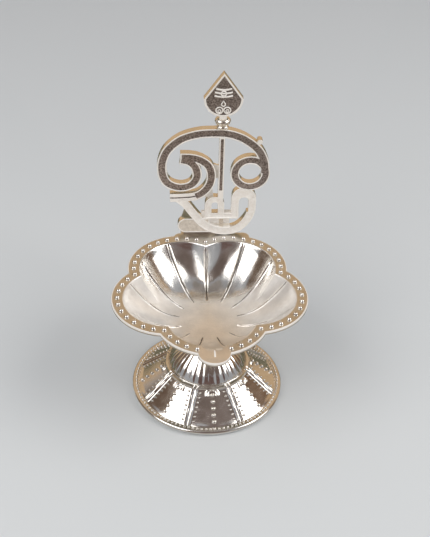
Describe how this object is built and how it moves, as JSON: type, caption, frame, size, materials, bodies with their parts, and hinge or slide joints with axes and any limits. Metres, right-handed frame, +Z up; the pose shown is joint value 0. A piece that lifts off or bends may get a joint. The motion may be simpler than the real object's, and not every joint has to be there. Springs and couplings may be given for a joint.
{
  "type": "footed oil lamp with crest",
  "caption": "Small footed oil lamp: petal-shaped bowl with beaded rim and wick spout on a fluted knop and ribbed cone foot, with an upright openwork crest at the back.",
  "frame": {"origin": "middle of the foot's flat underside, on the ground", "axes": "+Z up, -Y towards the wick spout, +X to the right of someone facing the spout"},
  "size_m": [0.0648, 0.0739, 0.1061],
  "materials": {
    "bright_plate": "bright silver plate over cast metal, mirror-like with soft frosting in the hollows",
    "crest_plate": "silver plate over a rough casting, satin below and sunk textured faces above",
    "steel": "plain turned steel"
  },
  "bodies": {
    "root": {"foot": "bright_plate", "base_plate": "bright_plate", "knop": "bright_plate", "bowl": "bright_plate", "crest": "crest_plate", "stem_bolt": "steel", "spring_washer": "steel", "flat_washer": "steel", "crest_screws": "steel", "crest_washers": "steel"}
  },
  "joints": []
}
